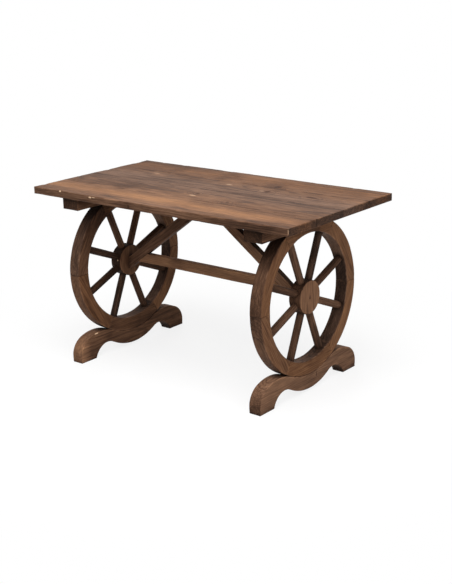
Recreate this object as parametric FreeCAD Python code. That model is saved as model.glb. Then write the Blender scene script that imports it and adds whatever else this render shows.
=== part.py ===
import FreeCAD, Part
import math
import os

from FreeCAD import Vector

# Rustic garden coffee table that stands on two wagon wheels.
# Sizes are in millimetres. +X runs along the table, +Y to its back and +Z up.
# The origin is on the floor, under the middle of the tabletop.

# Tabletop
top_length = 1130.0
top_width = 600.0
top_thickness = 26.0
plank_names = ("front_plank", "front_middle_plank", "rear_middle_plank", "rear_plank")
plank_gap = 0.4          # joint between two planks
plank_arris = 1.5        # chamfer along the edges of a plank's top face

# Wheels
wheel_diameter = 545.0
wheel_inset = 152.5      # from the tabletop's end to the wheel's middle plane
wheel_stock = 46.0       # thickness of rims, hubs and feet along X
rim_depth = 50.0         # radial
felloe_count = 6
rim_arris = 2.0
hub_diameter = 119.0
hub_arris = 3.0
spoke_count = 8
first_spoke_angle = 22.5  # degrees from +Y towards +Z
spoke_diameter = 27.0
socket_depth = 14.0      # of a spoke in the hub and in the rim
socket_clearance = 0.2   # around a spoke and under its ends
dowel_diameter = 10.0
dowel_length = 40.0
dowel_clearance = 0.1
dowel_end_room = 0.5

# Feet
foot_length = 564.0
foot_pad = 76.0          # length of a floor pad
wheel_rest_height = 61.0  # from the floor to the bottom of the wheel
saddle_clearance = 0.2
belly_height = 7.5
arch_height = 46.0
arch_radius = 65.0
hump_height = 98.0
foot_end_drop = 7.0      # from the top of a hump down to the top of the end's round
foot_end_radius = 67.0
foot_arris = 2.0

# Battens
crown_cover = 18.0       # wood between the top of the wheel and the tabletop
housing_cheek = 10.0     # wood on each side of the rim where it is let into the batten
batten_depth = 46.0
batten_setback = 26.0    # from the tabletop's long edges
batten_arris = 2.0
housing_clearance = 0.2  # around the rim where it is let into the batten
centre_batten_width = 92.0
centre_batten_depth = 22.0
centre_batten_setback = 80.0

# Braces and stretcher
rail_thickness = 24.0    # along Y
rail_depth = 36.0
brace_drop = 31.0        # from the hub's axis down to the brace's lower corner
brace_nose = 15.0        # height of the mitre where the braces meet
mitre_gap = 0.4
stretcher_rise = 22.5    # from the hub's axis up to the stretcher's middle

# Screws
screw_diameter = 5.0
screw_head = 10.0
screw_tip = 5.0
screw_clearance = 0.15
head_recess = 0.5        # of a head under the face that it is driven into
plank_skin = 11.0        # wood left between a screw's tip and the top face
batten_skin = 7.0        # the same for the screws from the braces into the centre batten
rim_bite = 24.0          # length of a screw in the rim
brace_bite = 28.0        # length of a hub's screw in the brace
stretcher_bite = 13.0
housing_to_screw = 15.0  # along an end batten
seam_to_screw = 42.0
batten_end_to_screw = 26.0
centre_screw_offset = 40.0  # from the table's middle, along Y
centre_seam_to_screw = 38.0
centre_seam_past_screw = 18.0
centre_end_to_screw = 16.0
rim_screw_place = 45.0   # from the wheel's middle, along Y
brace_screw_place = 25.0  # from the table's middle, along X
bore_diameter = 12.0     # bore that sinks a screw's head deep
foot_bore_depth = 14.0
brace_bore_depth = 8.0
hub_bore_depth = 12.0
plug_length = 9.0

# Derived places
table_height = wheel_rest_height + wheel_diameter + crown_cover + top_thickness
underside = table_height - top_thickness
wheel_radius = wheel_diameter / 2
wheel_spacing = top_length - 2 * wheel_inset
rim_inner_radius = wheel_radius - rim_depth
hub_radius = hub_diameter / 2
axle_height = wheel_rest_height + wheel_radius
hub_face = wheel_spacing / 2 - wheel_stock / 2
felloe_angle = 360.0 / felloe_count
spoke_step = 360.0 / spoke_count
dowel_ring = (rim_inner_radius + socket_depth + wheel_radius) / 2
centre_batten_bottom = underside - centre_batten_depth
brace_foot = axle_height - brace_drop
brace_apex = centre_batten_bottom - brace_nose
brace_slope = (brace_apex - brace_foot) / hub_face
brace_angle = math.atan(brace_slope)
brace_upright = rail_depth / math.cos(brace_angle)
stretcher_middle = axle_height + stretcher_rise
plank_width = top_width / len(plank_names)
batten_width = wheel_stock + 2 * housing_cheek
batten_half_length = top_width / 2 - batten_setback
housing_radius = wheel_radius + housing_clearance
housing_half_length = math.sqrt(housing_radius ** 2 - (underside - batten_depth - axle_height) ** 2)
centre_half_length = top_width / 2 - centre_batten_setback
batten_screw_places = (
    housing_half_length + housing_to_screw,
    plank_width + seam_to_screw,
    batten_half_length - batten_end_to_screw,
)
centre_screw_places = (
    centre_screw_offset,
    plank_width - centre_seam_to_screw,
    plank_width + centre_seam_past_screw,
    centre_half_length - centre_end_to_screw,
)
sides = {"left": -1, "right": 1}


def radial(angle):
    """Unit vector in a wheel's plane, angle in degrees from +Y towards +Z."""
    turn = math.radians(angle)
    return Vector(0, math.cos(turn), math.sin(turn))


def wheel_centre(side):
    return Vector(side * wheel_spacing / 2, 0, axle_height)


def box(low, high):
    size = high - low
    return Part.makeBox(size.x, size.y, size.z, low)


def flat_prism(points, sweep):
    """Solid swept from the polygon through the points."""
    outline = Part.makePolygon(points + points[:1])
    return Part.Face(outline).extrude(sweep)


def turned(points, place, direction):
    """Solid of revolution: points are (radius, distance along the axis)."""
    outline = Part.makePolygon([Vector(r, 0, h) for r, h in points + points[:1]])
    solid = Part.Face(outline).revolve(Vector(0, 0, 0), Vector(0, 0, 1), 360)
    solid.Placement = FreeCAD.Placement(place, FreeCAD.Rotation(Vector(0, 0, 1), direction))
    return solid


def rod(diameter, length, place, direction):
    return Part.makeCylinder(diameter / 2, length, place, direction)


def screw(place, direction, length, room=0.0):
    """Countersunk screw whose head's flat lies at place; room widens it to its hole."""
    head = screw_head / 2 + room
    shank = screw_diameter / 2 + room
    end = length + room
    profile = [(0, 0), (head, 0), (shank, head - shank), (shank, end - screw_tip), (0, end)]
    return turned(profile, place, direction)


def screw_hole(place, direction, length, bore=0.0):
    """Hole for a screw, with a bore of the given depth above its head."""
    hole = screw(place, direction, length, screw_clearance)
    mouth = rod(bore_diameter, bore + head_recess, place - direction * (bore + head_recess), direction)
    return hole.fuse(mouth)


# Fasteners: each list holds (place, direction, length) of its screws
def batten_screws():
    """Up through the end battens into the planks, clear of the wheels' housings."""
    up = Vector(0, 0, 1)
    seat = underside - batten_depth + head_recess
    length = batten_depth - head_recess + top_thickness - plank_skin
    found = []
    for side in sides.values():
        for reach in batten_screw_places:
            for way in (-1, 1):
                found.append((Vector(side * wheel_spacing / 2, way * reach, seat), up, length))
    return found


def centre_batten_screws():
    up = Vector(0, 0, 1)
    seat = centre_batten_bottom + head_recess
    length = centre_batten_depth - head_recess + top_thickness - plank_skin
    return [(Vector(0, way * reach, seat), up, length) for reach in centre_screw_places for way in (-1, 1)]


def rim_screws():
    """Down through the battens into the top of the rims."""
    down = Vector(0, 0, -1)
    seat = underside - head_recess
    rim_top = axle_height + math.sqrt(wheel_radius ** 2 - rim_screw_place ** 2)
    length = seat - rim_top + rim_bite
    found = []
    for side in sides.values():
        for way in (-1, 1):
            found.append((Vector(side * wheel_spacing / 2, way * rim_screw_place, seat), down, length))
    return found


def foot_screws():
    """Up through the feet into the bottom of the rims, with sunk heads."""
    up = Vector(0, 0, 1)
    seat = belly_height + foot_bore_depth
    rim_bottom = axle_height - math.sqrt(wheel_radius ** 2 - rim_screw_place ** 2)
    length = rim_bottom - seat + rim_bite
    found = []
    for side in sides.values():
        for way in (-1, 1):
            found.append((Vector(side * wheel_spacing / 2, way * rim_screw_place, seat), up, length))
    return found


def hub_screws():
    """Inwards along the hubs' axes into the lower ends of the braces."""
    length = wheel_stock - hub_bore_depth + brace_bite
    found = []
    for side in sides.values():
        inwards = Vector(-side, 0, 0)
        outer_face = wheel_centre(side) - inwards * (wheel_stock / 2)
        found.append((outer_face + inwards * hub_bore_depth, inwards, length))
    return found


def brace_screws():
    """Up through the tops of the braces into the centre batten."""
    up = Vector(0, 0, 1)
    under_brace = brace_apex - brace_slope * brace_screw_place
    seat = under_brace + brace_bore_depth
    length = underside - batten_skin - seat
    return [(Vector(side * brace_screw_place, 0, seat), up, length) for side in sides.values()]


def stretcher_screws():
    """Square through the braces into the stretcher's mitred ends."""
    inset = (stretcher_middle - brace_foot) / brace_slope
    length = rail_depth - head_recess + stretcher_bite
    found = []
    for side in sides.values():
        into = Vector(-side * math.sin(brace_angle), 0, -math.cos(brace_angle))
        joint = Vector(side * (hub_face - inset), 0, stretcher_middle)
        found.append((joint - into * (rail_depth - head_recess), into, length))
    return found


def holes(screws, bore=0.0):
    return [screw_hole(place, direction, length, bore) for place, direction, length in screws]


def felloe_dowels(room=0.0, end_room=0.0):
    """Dowels across the joints between the rim segments of both wheels."""
    found = []
    for side in sides.values():
        for joint in range(felloe_count):
            angle = joint * felloe_angle
            along = radial(angle + 90)
            length = dowel_length + 2 * end_room
            middle = wheel_centre(side) + radial(angle) * dowel_ring
            found.append(rod(dowel_diameter + 2 * room, length, middle - along * (length / 2), along))
    return found


def spokes(side, room=0.0):
    """Round spokes of one wheel; room widens them to their sockets."""
    start = hub_radius - socket_depth + socket_clearance - room
    end = rim_inner_radius + socket_depth - socket_clearance + room
    found = []
    for index in range(spoke_count):
        along = radial(first_spoke_angle + index * spoke_step)
        place = wheel_centre(side) + along * start
        found.append(rod(spoke_diameter + 2 * room, end - start, place, along))
    return found


def cut_all(solid, tools):
    """Cuts the tools that reach the solid."""
    near = [tool for tool in tools if tool.BoundBox.intersect(solid.BoundBox)]
    return solid.cut(near) if near else solid


# Sub-parts
def planks():
    found = {}
    tools = holes(batten_screws()) + holes(centre_batten_screws())
    for index, name in enumerate(plank_names):
        near_edge = -top_width / 2 + index * plank_width
        first = index == 0
        last = index == len(plank_names) - 1
        low_y = near_edge + (0 if first else plank_gap / 2)
        high_y = near_edge + plank_width - (0 if last else plank_gap / 2)
        low = Vector(-top_length / 2, low_y, underside)
        high = Vector(top_length / 2, high_y, underside + top_thickness)
        plank = box(low, high)
        top_edges = [edge for edge in plank.Edges if edge.BoundBox.ZMin > underside + top_thickness / 2]
        found[name] = cut_all(plank.makeChamfer(plank_arris, top_edges), tools)
    return found


def felloes(side):
    """Rim segments of one wheel, with spoke sockets and dowel holes."""
    half = wheel_stock / 2
    inner = rim_inner_radius
    outer = wheel_radius
    ease = rim_arris
    section = [
        Vector(-half + ease, inner, 0), Vector(half - ease, inner, 0),
        Vector(half, inner + ease, 0), Vector(half, outer - ease, 0),
        Vector(half - ease, outer, 0), Vector(-half + ease, outer, 0),
        Vector(-half, outer - ease, 0), Vector(-half, inner + ease, 0),
    ]
    face = Part.Face(Part.makePolygon(section + section[:1]))
    tools = spokes(side, socket_clearance) + felloe_dowels(dowel_clearance, dowel_end_room)
    tools += holes(rim_screws()) + holes(foot_screws())
    found = []
    for index in range(felloe_count):
        felloe = face.revolve(Vector(0, 0, 0), Vector(1, 0, 0), felloe_angle)
        felloe.rotate(Vector(0, 0, 0), Vector(1, 0, 0), index * felloe_angle)
        felloe.translate(wheel_centre(side))
        found.append(cut_all(felloe, tools))
    return found


def hub(side):
    half = wheel_stock / 2
    ease = hub_arris
    profile = [(0, -half), (hub_radius - ease, -half), (hub_radius, -half + ease)]
    profile += [(hub_radius, half - ease), (hub_radius - ease, half), (0, half)]
    drum = turned(profile, wheel_centre(side), Vector(1, 0, 0))
    tools = spokes(side, socket_clearance) + holes(hub_screws(), hub_bore_depth)
    return cut_all(drum, tools)


def arc(centre, radius, start, end):
    """Arc edge in the YZ plane between two angles in degrees."""
    points = [Vector(0, *centre) + radial(a) * radius for a in (start, (start + end) / 2, end)]
    return Part.Arc(*points).toShape()


def bearing(origin, target):
    """Angle in degrees of the line from one (y, z) point to another."""
    return math.degrees(math.atan2(target[1] - origin[1], target[0] - origin[0]))


def hump_between(saddle_radius, end_y):
    """Place along Y and radius of the hump that touches the wheel's saddle and the end's round.

    Touching the saddle gives y * y = saddle_part + saddle_gain * radius, and touching the end's round
    gives (end_y - y) ** 2 = end_part + end_gain * radius. Both together are a quadratic in y.
    """
    crown_to_axle = axle_height - hump_height
    saddle_part = saddle_radius ** 2 - crown_to_axle ** 2
    saddle_gain = 2 * (saddle_radius - crown_to_axle)
    end_part = foot_end_radius ** 2 - (foot_end_radius + foot_end_drop) ** 2
    end_gain = 2 * foot_end_drop
    share = end_gain / saddle_gain
    rest = end_y ** 2 - end_part + share * saddle_part
    y = (end_y - math.sqrt(end_y ** 2 - (1 - share) * rest)) / (1 - share)
    return y, (y ** 2 - saddle_part) / saddle_gain


def foot_outline():
    """Closed outline of a foot: tangent arcs from the wheel's saddle to the floor pads and belly."""
    half = foot_length / 2
    pad_start = half - foot_pad
    saddle_radius = wheel_radius + saddle_clearance
    wheel = (0.0, axle_height)
    end = (half - foot_end_radius, hump_height - foot_end_drop - foot_end_radius)
    hump_y, hump_radius = hump_between(saddle_radius, end[0])
    hump = (hump_y, hump_height - hump_radius)
    arch_z = arch_height - arch_radius
    arch_y = pad_start - math.sqrt(arch_radius ** 2 - arch_z ** 2)
    arch = (arch_y, arch_z)
    drop = belly_height - arch_z
    belly_radius = (arch_y ** 2 + drop ** 2 - arch_radius ** 2) / (2 * (arch_radius - drop))
    belly = (0.0, belly_height + belly_radius)

    saddle_to_hump = bearing(wheel, hump)
    hump_to_end = bearing(hump, end)
    belly_to_arch = bearing(belly, arch)
    arch_to_pad = bearing(arch, (pad_start, 0.0))
    half_outline = [
        arc(arch, arch_radius, belly_to_arch + 180, arch_to_pad),
        Part.makeLine(Vector(0, pad_start, 0), Vector(0, half, 0)),
        Part.makeLine(Vector(0, half, 0), Vector(0, half, end[1])),
        arc(end, foot_end_radius, 0, hump_to_end),
        arc(hump, hump_radius, hump_to_end, saddle_to_hump + 180),
    ]
    mirrored = [edge.mirror(Vector(0, 0, 0), Vector(0, 1, 0)) for edge in half_outline]
    middle = [
        arc(belly, belly_radius, -180 - belly_to_arch, belly_to_arch),
        arc(wheel, saddle_radius, -180 - saddle_to_hump, saddle_to_hump),
    ]
    return Part.Wire(Part.__sortEdges__(half_outline + mirrored + middle))


def foot(side):
    """Board cut to the outline, with its edges broken everywhere but around the floor pads."""
    board = Part.Face(foot_outline()).extrude(Vector(wheel_stock, 0, 0))
    outline_edges = [edge for edge in board.Edges if edge.BoundBox.XLength < wheel_stock / 2]
    broken = [edge for edge in outline_edges if edge.BoundBox.ZMax > foot_arris]
    board = board.makeChamfer(foot_arris, broken)
    board.translate(Vector(side * wheel_spacing / 2 - wheel_stock / 2, 0, 0))
    return cut_all(board, holes(foot_screws(), foot_bore_depth))


def end_batten(side):
    """Batten over one wheel, with the housing that the top of the rim sits in."""
    centre = wheel_centre(side)
    low = Vector(centre.x - batten_width / 2, -batten_half_length, underside - batten_depth)
    high = Vector(centre.x + batten_width / 2, batten_half_length, underside)
    bar = box(low, high)
    lower_edges = [edge for edge in bar.Edges if edge.BoundBox.ZMax < underside - batten_depth / 2]
    bar = bar.makeChamfer(batten_arris, lower_edges)
    housing_width = wheel_stock + 2 * housing_clearance
    start = centre - Vector(housing_width / 2, 0, 0)
    housing = rod(2 * housing_radius, housing_width, start, Vector(1, 0, 0))
    return cut_all(bar.cut(housing), holes(batten_screws()) + holes(rim_screws()))


def centre_batten():
    low = Vector(-centre_batten_width / 2, -centre_half_length, centre_batten_bottom)
    high = Vector(centre_batten_width / 2, centre_half_length, underside)
    tools = holes(centre_batten_screws()) + holes(brace_screws(), brace_bore_depth)
    return cut_all(box(low, high), tools)


def rail(points):
    """Board of the braces' section, from its outline in the XZ plane."""
    outline = [Vector(x, -rail_thickness / 2, z) for x, z in points]
    return flat_prism(outline, Vector(0, rail_thickness, 0))


def brace(side):
    """Diagonal from a hub's inner face to the middle of the top, cut to seat under the centre batten."""
    middle = mitre_gap / 2
    seat = (brace_apex + brace_upright - centre_batten_bottom) / brace_slope
    outline = [
        (side * hub_face, brace_foot),
        (side * middle, brace_apex - brace_slope * middle),
        (side * middle, centre_batten_bottom),
        (side * seat, centre_batten_bottom),
        (side * hub_face, brace_foot + brace_upright),
    ]
    tools = holes(hub_screws(), hub_bore_depth) + holes(brace_screws(), brace_bore_depth)
    return cut_all(rail(outline), tools + holes(stretcher_screws()))


def stretcher():
    """Rail between the braces, with ends mitred to their undersides."""
    low = stretcher_middle - rail_depth / 2
    high = stretcher_middle + rail_depth / 2
    low_reach = hub_face - (low - brace_foot) / brace_slope
    high_reach = hub_face - (high - brace_foot) / brace_slope
    outline = [(-low_reach, low), (low_reach, low), (high_reach, high), (-high_reach, high)]
    return cut_all(rail(outline), holes(stretcher_screws()))


def hub_plugs():
    """Wooden plugs that close the bores over the hub screws."""
    found = []
    for place, direction, length in hub_screws():
        face = place - direction * hub_bore_depth
        found.append(rod(bore_diameter - 2 * dowel_clearance, plug_length, face, direction))
    return found


def group(solids):
    return Part.makeCompound(solids)


def screw_group(screws):
    return group([screw(place, direction, length) for place, direction, length in screws])


def build():
    nodes = planks()
    for word, side in sides.items():
        nodes[word + "_batten"] = end_batten(side)
        nodes[word + "_hub"] = hub(side)
        nodes[word + "_foot"] = foot(side)
        nodes[word + "_brace"] = brace(side)
        for index, felloe in enumerate(felloes(side), 1):
            nodes["%s_felloe_%d" % (word, index)] = felloe
        for index, spoke in enumerate(spokes(side), 1):
            nodes["%s_spoke_%d" % (word, index)] = spoke
    nodes["centre_batten"] = centre_batten()
    nodes["stretcher"] = stretcher()
    nodes["felloe_dowels"] = group(felloe_dowels())
    nodes["hub_plugs"] = group(hub_plugs())
    nodes["batten_screws"] = screw_group(batten_screws())
    nodes["centre_batten_screws"] = screw_group(centre_batten_screws())
    nodes["rim_screws"] = screw_group(rim_screws())
    nodes["foot_screws"] = screw_group(foot_screws())
    nodes["hub_screws"] = screw_group(hub_screws())
    nodes["brace_screws"] = screw_group(brace_screws())
    nodes["stretcher_screws"] = screw_group(stretcher_screws())
    return nodes


os.makedirs("parts", exist_ok=True)
for name, shape in build().items():
    shape.exportStep(os.path.join("parts", name + ".step"))
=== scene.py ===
from math import atan2, copysign, cos, hypot, pi, radians, sin, sqrt

import bpy
import numpy as np
from mathutils import Euler, Matrix, Vector


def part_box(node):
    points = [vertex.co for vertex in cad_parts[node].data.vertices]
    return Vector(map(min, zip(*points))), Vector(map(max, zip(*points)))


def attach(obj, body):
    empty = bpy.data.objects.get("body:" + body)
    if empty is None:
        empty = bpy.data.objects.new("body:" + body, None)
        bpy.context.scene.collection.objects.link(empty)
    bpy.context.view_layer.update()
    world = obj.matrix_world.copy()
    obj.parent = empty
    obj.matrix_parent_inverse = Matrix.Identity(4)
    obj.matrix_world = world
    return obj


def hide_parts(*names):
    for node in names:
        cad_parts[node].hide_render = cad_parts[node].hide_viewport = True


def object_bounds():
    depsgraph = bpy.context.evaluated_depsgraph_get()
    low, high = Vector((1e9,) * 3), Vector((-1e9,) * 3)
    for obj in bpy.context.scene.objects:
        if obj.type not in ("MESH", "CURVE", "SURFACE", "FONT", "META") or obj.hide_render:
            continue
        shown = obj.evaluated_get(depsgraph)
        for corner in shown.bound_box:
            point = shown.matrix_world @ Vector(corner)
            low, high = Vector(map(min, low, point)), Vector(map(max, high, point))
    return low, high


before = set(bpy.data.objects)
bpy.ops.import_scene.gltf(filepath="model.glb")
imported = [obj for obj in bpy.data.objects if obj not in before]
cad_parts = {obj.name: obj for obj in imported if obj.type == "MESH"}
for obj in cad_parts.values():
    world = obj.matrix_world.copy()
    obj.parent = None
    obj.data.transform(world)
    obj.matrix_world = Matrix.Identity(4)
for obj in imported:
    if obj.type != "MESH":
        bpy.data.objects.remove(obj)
cad_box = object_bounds()

# Looks of a garden coffee table on two wagon wheels: charred, brushed and worn softwood.
# Lengths are metres. X runs along the top, Y from its front to its back, Z is up from the floor.
# Numbers given as seeds only keep the random draws of the pieces apart.
X_AXIS = (1, 0, 0)
Y_AXIS = (0, 1, 0)
Z_AXIS = (0, 0, 1)

# Pieces that repeat; a side's number is the sign of its X
SIDES = {"left": -1, "right": 1}
PLANKS = ("front_plank", "front_middle_plank", "rear_middle_plank", "rear_plank")
FELLOE_COUNT = 6
SPOKE_COUNT = 8

# Sizes of the solids that their boxes do not give
RIM_DEPTH = 0.050
FIRST_SPOKE_ANGLE = radians(22.5)
SPOKE_RADIUS = 0.0135
SOCKET_DEPTH = 0.0138
PLUG_RADIUS = 0.0059
PLUG_LENGTH = 0.011
FOOT_PAD = 0.076
WHEEL_REST_HEIGHT = 0.061
SADDLE_CLEARANCE = 0.0002
BELLY_HEIGHT = 0.0075
ARCH_HEIGHT = 0.046
ARCH_RADIUS = 0.065
HUMP_HEIGHT = 0.098
FOOT_END_DROP = 0.007
FOOT_END_RADIUS = 0.067
BRACE_NOSE = 0.015
RAIL_DEPTH = 0.036
MITRE_GAP = 0.0004
SCREW_HEAD = 0.005
SCREW_SHANK = 0.0025
SCREW_TIP = 0.005
SCREW_BORE = 0.006

# Screws, by their distance from the middle of the table's depth
BATTEN_SCREWS = (0.13577, 0.192, 0.248)
CENTRE_BATTEN_SCREWS = (0.040, 0.112, 0.168, 0.204)
FOOT_SCREW = 0.045

# How the photograph was taken: the camera's place around the table, and the lens
PHOTO_HEIGHT = 584
FOCAL_PIXELS = 1138.957
SENSOR = 36.0
CAMERA_AZIMUTH = 0.685778
CAMERA_ELEVATION = 0.300437
CAMERA_ROLL = -0.023337
CAMERA_DISTANCE = 4.046033
CAMERA_TARGET = (0.072329, 0.0, 0.288038)

# Softboxes: place, aim, size, power, and whether shiny surfaces show them
SOFTBOXES = {
    "overhead_softbox": ((0.6, -1.0, 3.6), (0, 0, 0.4), 2.2, 112.0, True),
    "front_softbox": ((1.3, -2.9, 2.8), (0, 0, 0.4), 1.6, 48.0, True),
    "right_softbox": ((3.2, -0.9, 1.7), (0, 0, 0.3), 1.8, 42.0, True),
    "rear_softbox": ((-2.6, 2.6, 1.9), (0, 0, 0.3), 1.8, 55.0, False)}
WORLD_STRENGTH = 0.20
WHITE = (1, 1, 1, 1)

# Floor: its colour as seen and as it lights the table, and its shadow, which fades out.
# It lies just under the feet, and rays that start closer than the touch pass through it.
FLOOR_SEEN = (0.93, 0.93, 0.93, 1)
FLOOR_BOUNCE = (0.42, 0.41, 0.40, 1)
FLOOR_SHADOW = 0.18
SHADOW_FADE = (0.55, 1.35)
FLOOR_REACH = 12.0
FLOOR_LEVEL = -0.0003
FLOOR_TOUCH = 0.002

# Wear of edges: steps of wear and of chips, where chips start, a gouge's run-out, and the worn band's width
WEAR_STEP = 0.11
CHIP_STEP = 0.026
CHIP_START = 0.72
GOUGE_RUN_OUT = 0.010
WORN_BAND = 0.006

# Points in a random curve, and grid lines near an edge, measured from it
CURVE_POINTS = 4096
EDGE_LINES = (0.0, 0.0006, 0.0014, 0.0026, 0.0042, 0.0065)


def extent(node):
    """The middle and the half size of a node's box."""
    low, high = (np.array(corner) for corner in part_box(node))
    return (low + high) / 2, (high - low) / 2


def wander(seed, along, step):
    """Heights of a smooth random curve between 0 and 1 that turns about once every step."""
    heights = np.random.default_rng(seed).random(CURVE_POINTS)
    place = along / step + CURVE_POINTS / 2
    left = np.floor(place).astype(int)
    share = place - left
    share = share * share * (3 - 2 * share)
    return heights[left % CURVE_POINTS] * (1 - share) + heights[(left + 1) % CURVE_POINTS] * share


def near(distance, reach):
    """1 at no distance, falling evenly to 0 at the reach."""
    return np.clip(1 - distance / reach, 0, 1)


def follow(stops, place):
    """The height of a line through (place, height) stops."""
    return np.interp(place, *zip(*stops))


def unit(vector):
    return np.array(vector, float) / np.linalg.norm(vector)


def worn_edge(seed, along, base, wear, chip, gouges=()):
    """The rounding of an edge along its length: a base radius, slow wear and sudden small chips.
    gouges are longer worn places, as (start, end, extra radius)."""
    chipped = np.clip(wander(seed + 1, along, CHIP_STEP) - CHIP_START, 0, None) / (1 - CHIP_START)
    radius = base + wear * wander(seed, along, WEAR_STEP) ** 2 + chip * chipped
    for start, end, depth in gouges:
        inside = np.minimum(along - start, end - along) / GOUGE_RUN_OUT
        radius += depth * np.clip(inside, 0, 1)
    return radius


def ruled(half, step):
    """Grid lines from -half to half, close together near both ends."""
    inner = half - EDGE_LINES[-1]
    count = max(2, round(2 * inner / step) + 1)
    ends = half - np.array(EDGE_LINES[:-1])
    return np.concatenate([-ends, np.linspace(-inner, inner, count), ends[::-1]])


def grid(half, steps):
    return [ruled(size, step) for size, step in zip(half, steps)]


def block(lines, radii, *settings):
    """The surface of a box as a grid of quads with rounded edges.
    lines holds the grid lines of each axis, and radii(points, *settings) the rounding on each axis.
    Returns the points, the faces and how close each point is to an edge, from 0 to 1."""
    counts = [len(line) for line in lines]
    half = np.array([line[-1] for line in lines])
    outside = np.zeros(counts, bool)
    for axis in range(3):
        outside.swapaxes(0, axis)[[0, -1]] = True
    number = np.full(counts, -1)
    number[outside] = np.arange(outside.sum())
    points = np.stack(np.meshgrid(*lines, indexing="ij"), axis=-1)[outside]
    faces = []
    for axis in range(3):
        for end in (0, -1):
            sheet = number.take(end, axis=axis)
            quads = np.stack([sheet[:-1, :-1], sheet[1:, :-1], sheet[1:, 1:], sheet[:-1, 1:]], axis=-1)
            quads = quads.reshape(-1, 4)
            faces.extend((quads if (end == -1) != (axis == 1) else quads[:, ::-1]).tolist())
    radius = radii(points, *settings)
    inner = np.clip(points, radius - half, half - radius)
    reach = points - inner
    rounded = inner + reach / np.linalg.norm(reach / radius, axis=1)[:, None]
    from_edge = np.sort(half - np.abs(points), axis=1)[:, 1]
    return rounded, faces, near(from_edge, WORN_BAND)


def band(lower, upper):
    """The faces between two closed rings of points; a ring that is one point makes triangles."""
    corners = zip(lower, lower[1:] + lower[:1], upper[1:] + upper[:1], upper)
    return [list(dict.fromkeys(face)) for face in corners]


def turns_round(segments):
    return np.linspace(0, 2 * pi, segments, endpoint=False)


def out_of_round(seed, segments, step, least):
    """Factors between least and 1 on a turned shape's radius, all the way round."""
    angles = turns_round(segments)
    return least + (1 - least) * wander(seed, np.minimum(angles, 2 * pi - angles), step)


def lathe(profile, swell):
    """A turned shape about the first axis, from (place along it, radius) pairs; radius 0 is a pole.
    swell holds a factor on the radius for each step round it."""
    segments = len(swell)
    angles = turns_round(segments)
    points = []
    rings = []
    for along, radius in profile:
        count = segments if radius else 1
        rings.append([len(points) + n % count for n in range(segments)])
        for angle, wide in zip(angles[:count], swell):
            points.append((along, radius * wide * cos(angle), radius * wide * sin(angle)))
    return np.array(points), [face for pair in zip(rings, rings[1:]) for face in band(*pair)]


def laid_along(points, origin, along):
    """Moves a turned shape from the first axis to a line through origin."""
    along = unit(along)
    helper = X_AXIS if abs(along[0]) < 0.5 else Z_AXIS
    across = unit(np.cross(helper, along))
    return np.array(origin) + points @ np.stack([along, across, np.cross(along, across)])


def joined(copies, faces):
    """Several copies of a shape's points as one mesh."""
    count = len(copies[0])
    numbered = [[v + n * count for v in face] for n in range(len(copies)) for face in faces]
    return np.concatenate(copies), numbered


# Bores for screws: half the grid cell around one, how many such halves other lines stay away, steps in a
# quarter turn, the chamfer of the mouth, the room behind a head, and what still counts as flat
BORE_CELL = 0.008
BORE_CLEAR = 1.3
BORE_STEPS = 6
BORE_CHAMFER = 0.0003
HEAD_ROOM = 0.0012
FLAT = 1e-6


def open_lines(lines, places):
    """Grid lines with a clear cell around each place."""
    clear = BORE_CLEAR * BORE_CELL
    kept = [line for line in lines if min(abs(line - place) for place in places) > clear]
    return np.sort(kept + [place + way * BORE_CELL for place in places for way in (-1, 1)])


def sink_bores(shape, axis, places, seat):
    """Round bores in the low face of a block, each in its own clear cell of the grid.
    places are the bores' middles on the other two axes, and seat is how deep the heads lie."""
    points, faces, edge = shape
    plane = [other for other in range(3) if other != axis]
    low = points[:, axis].min()
    corners = points[np.array(faces)]
    middles = corners.mean(axis=1)
    lies_low = np.ptp(corners[:, :, axis], axis=1) + middles[:, axis] - low < FLAT
    rings = ((SCREW_BORE + BORE_CHAMFER, 0.0), (SCREW_BORE, BORE_CHAMFER), (SCREW_BORE, seat + HEAD_ROOM))
    cut = set()
    bored = []
    for place in places:
        apart = np.linalg.norm(middles[:, plane] - place, axis=1)
        cell = int(np.where(lies_low, apart, np.inf).argmin())
        cut.add(cell)
        square = faces[cell]
        (x0, y0), (x1, y1) = points[square[:2]][:, plane] - place
        way = copysign(pi / 2, x0 * y1 - y0 * x1)
        turns = atan2(y0, x0) + way / BORE_STEPS * np.arange(4 * BORE_STEPS)
        circles = []
        for radius, depth in rings:
            circle = np.full((len(turns), 3), low + depth)
            circle[:, plane] = place + radius * np.stack([np.cos(turns), np.sin(turns)], axis=-1)
            circles.append([len(points) + n for n in range(len(turns))])
            points = np.concatenate([points, circle])
        mouth = circles[0]
        for n in range(4):
            arc = [mouth[(BORE_STEPS * n + k) % len(mouth)] for k in range(BORE_STEPS, -1, -1)]
            bored.append([square[n], square[(n + 1) % 4], *arc])
        for outer, inner in zip(circles, circles[1:]):
            bored.extend(band(outer, inner))
        bored.append(circles[-1])
    kept = [face for n, face in enumerate(faces) if n not in cut]
    return points, kept + bored, np.pad(edge, (0, len(points) - len(edge)))


# The logs that the pieces were sawn from, and how the frame's pieces differ in tone and warmth
LOG_LENGTH = 20
HEART_DISTANCE = (0.05, 0.13)
TONE_SPREAD = 0.025
WARMTH_RANGE = (0.46, 0.60)


def sawn(seed, points, centre, along, across, heart=None):
    """Each point's place in the log its piece was sawn from: along the grain, then across from the heart.
    heart is the piece's distance from the heart and the direction it lies in, or else drawn at random."""
    draw = np.random.default_rng(seed)
    along = unit(along)
    across = unit(across)
    local = (points - np.array(centre)) @ np.stack([along, across, np.cross(along, across)]).T
    start = draw.uniform(0, LOG_LENGTH)
    if heart is None:
        heart = (draw.uniform(*HEART_DISTANCE), draw.uniform(0, 2 * pi))
    distance, turn = heart
    return local + np.array([start, distance * cos(turn), distance * sin(turn)])


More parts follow.
